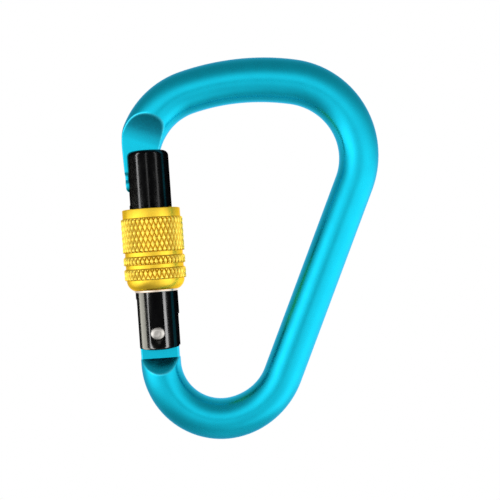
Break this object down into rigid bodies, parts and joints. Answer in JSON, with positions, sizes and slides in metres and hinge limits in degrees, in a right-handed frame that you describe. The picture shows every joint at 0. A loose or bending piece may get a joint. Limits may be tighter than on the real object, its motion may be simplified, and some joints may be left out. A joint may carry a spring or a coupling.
{
  "type": "locking carabiner",
  "caption": "Pear-shaped locking carabiner: round-bar forged body, sprung round gate with hooked nose, and a knurled sleeve that screws up over the nose.",
  "frame": {"origin": "bearing point of the wide basket: the highest point of its inner edge, on the carabiner's mid-plane", "axes": "+Z along the closed gate from hinge to nose, +X from the gate to the spine, +Y from the front to the back"},
  "size_m": [0.0785, 0.0184, 0.1133],
  "materials": {
    "teal_anodised": "satin anodised",
    "black_anodised": "gloss anodised",
    "gold_anodised": "satin anodised",
    "rivet_steel": "tumbled",
    "spring_steel": "drawn",
    "ring_nylon": "smooth"
  },
  "bodies": {
    "frame": {"body": "teal_anodised"},
    "gate": {"gate_barrel": "black_anodised", "hinge_rivet": "rivet_steel", "return_spring": "spring_steel"},
    "plunger": {"gate_plunger": "rivet_steel"},
    "ring": {"sleeve_ring": "ring_nylon"},
    "sleeve": {"locking_sleeve": "gold_anodised"}
  },
  "joints": [
    {"name": "gate_hinge", "type": "hinge", "parent": "frame", "child": "gate", "pos_m": [-0.03122, 0, -0.06685], "axis": [0, 1, 0], "range_deg": [0, 35], "stiffness_Nm_per_rad": 0.4, "springref_deg": -28.65},
    {"name": "plunger_slide", "type": "slide", "parent": "gate", "child": "plunger", "axis": [0, 0, 1], "range_m": [0, 0.00147], "deforming": ["return_spring"]},
    {"name": "sleeve_travel", "type": "slide", "parent": "gate", "child": "ring", "axis": [0, 0, 1], "range_m": [0, 0.0125]},
    {"name": "sleeve_turn", "type": "hinge", "parent": "ring", "child": "sleeve", "pos_m": [-0.03122, 0, -0.06685], "axis": [0, 0, 1], "range_deg": [0, 2250.01]}
  ],
  "couplings": [
    {"joint": "plunger_slide", "follows": "gate_hinge", "m_per_rad": 0.0024},
    {"joint": "sleeve_turn", "follows": "sleeve_travel", "rad_per_m": 3141.6}
  ]
}
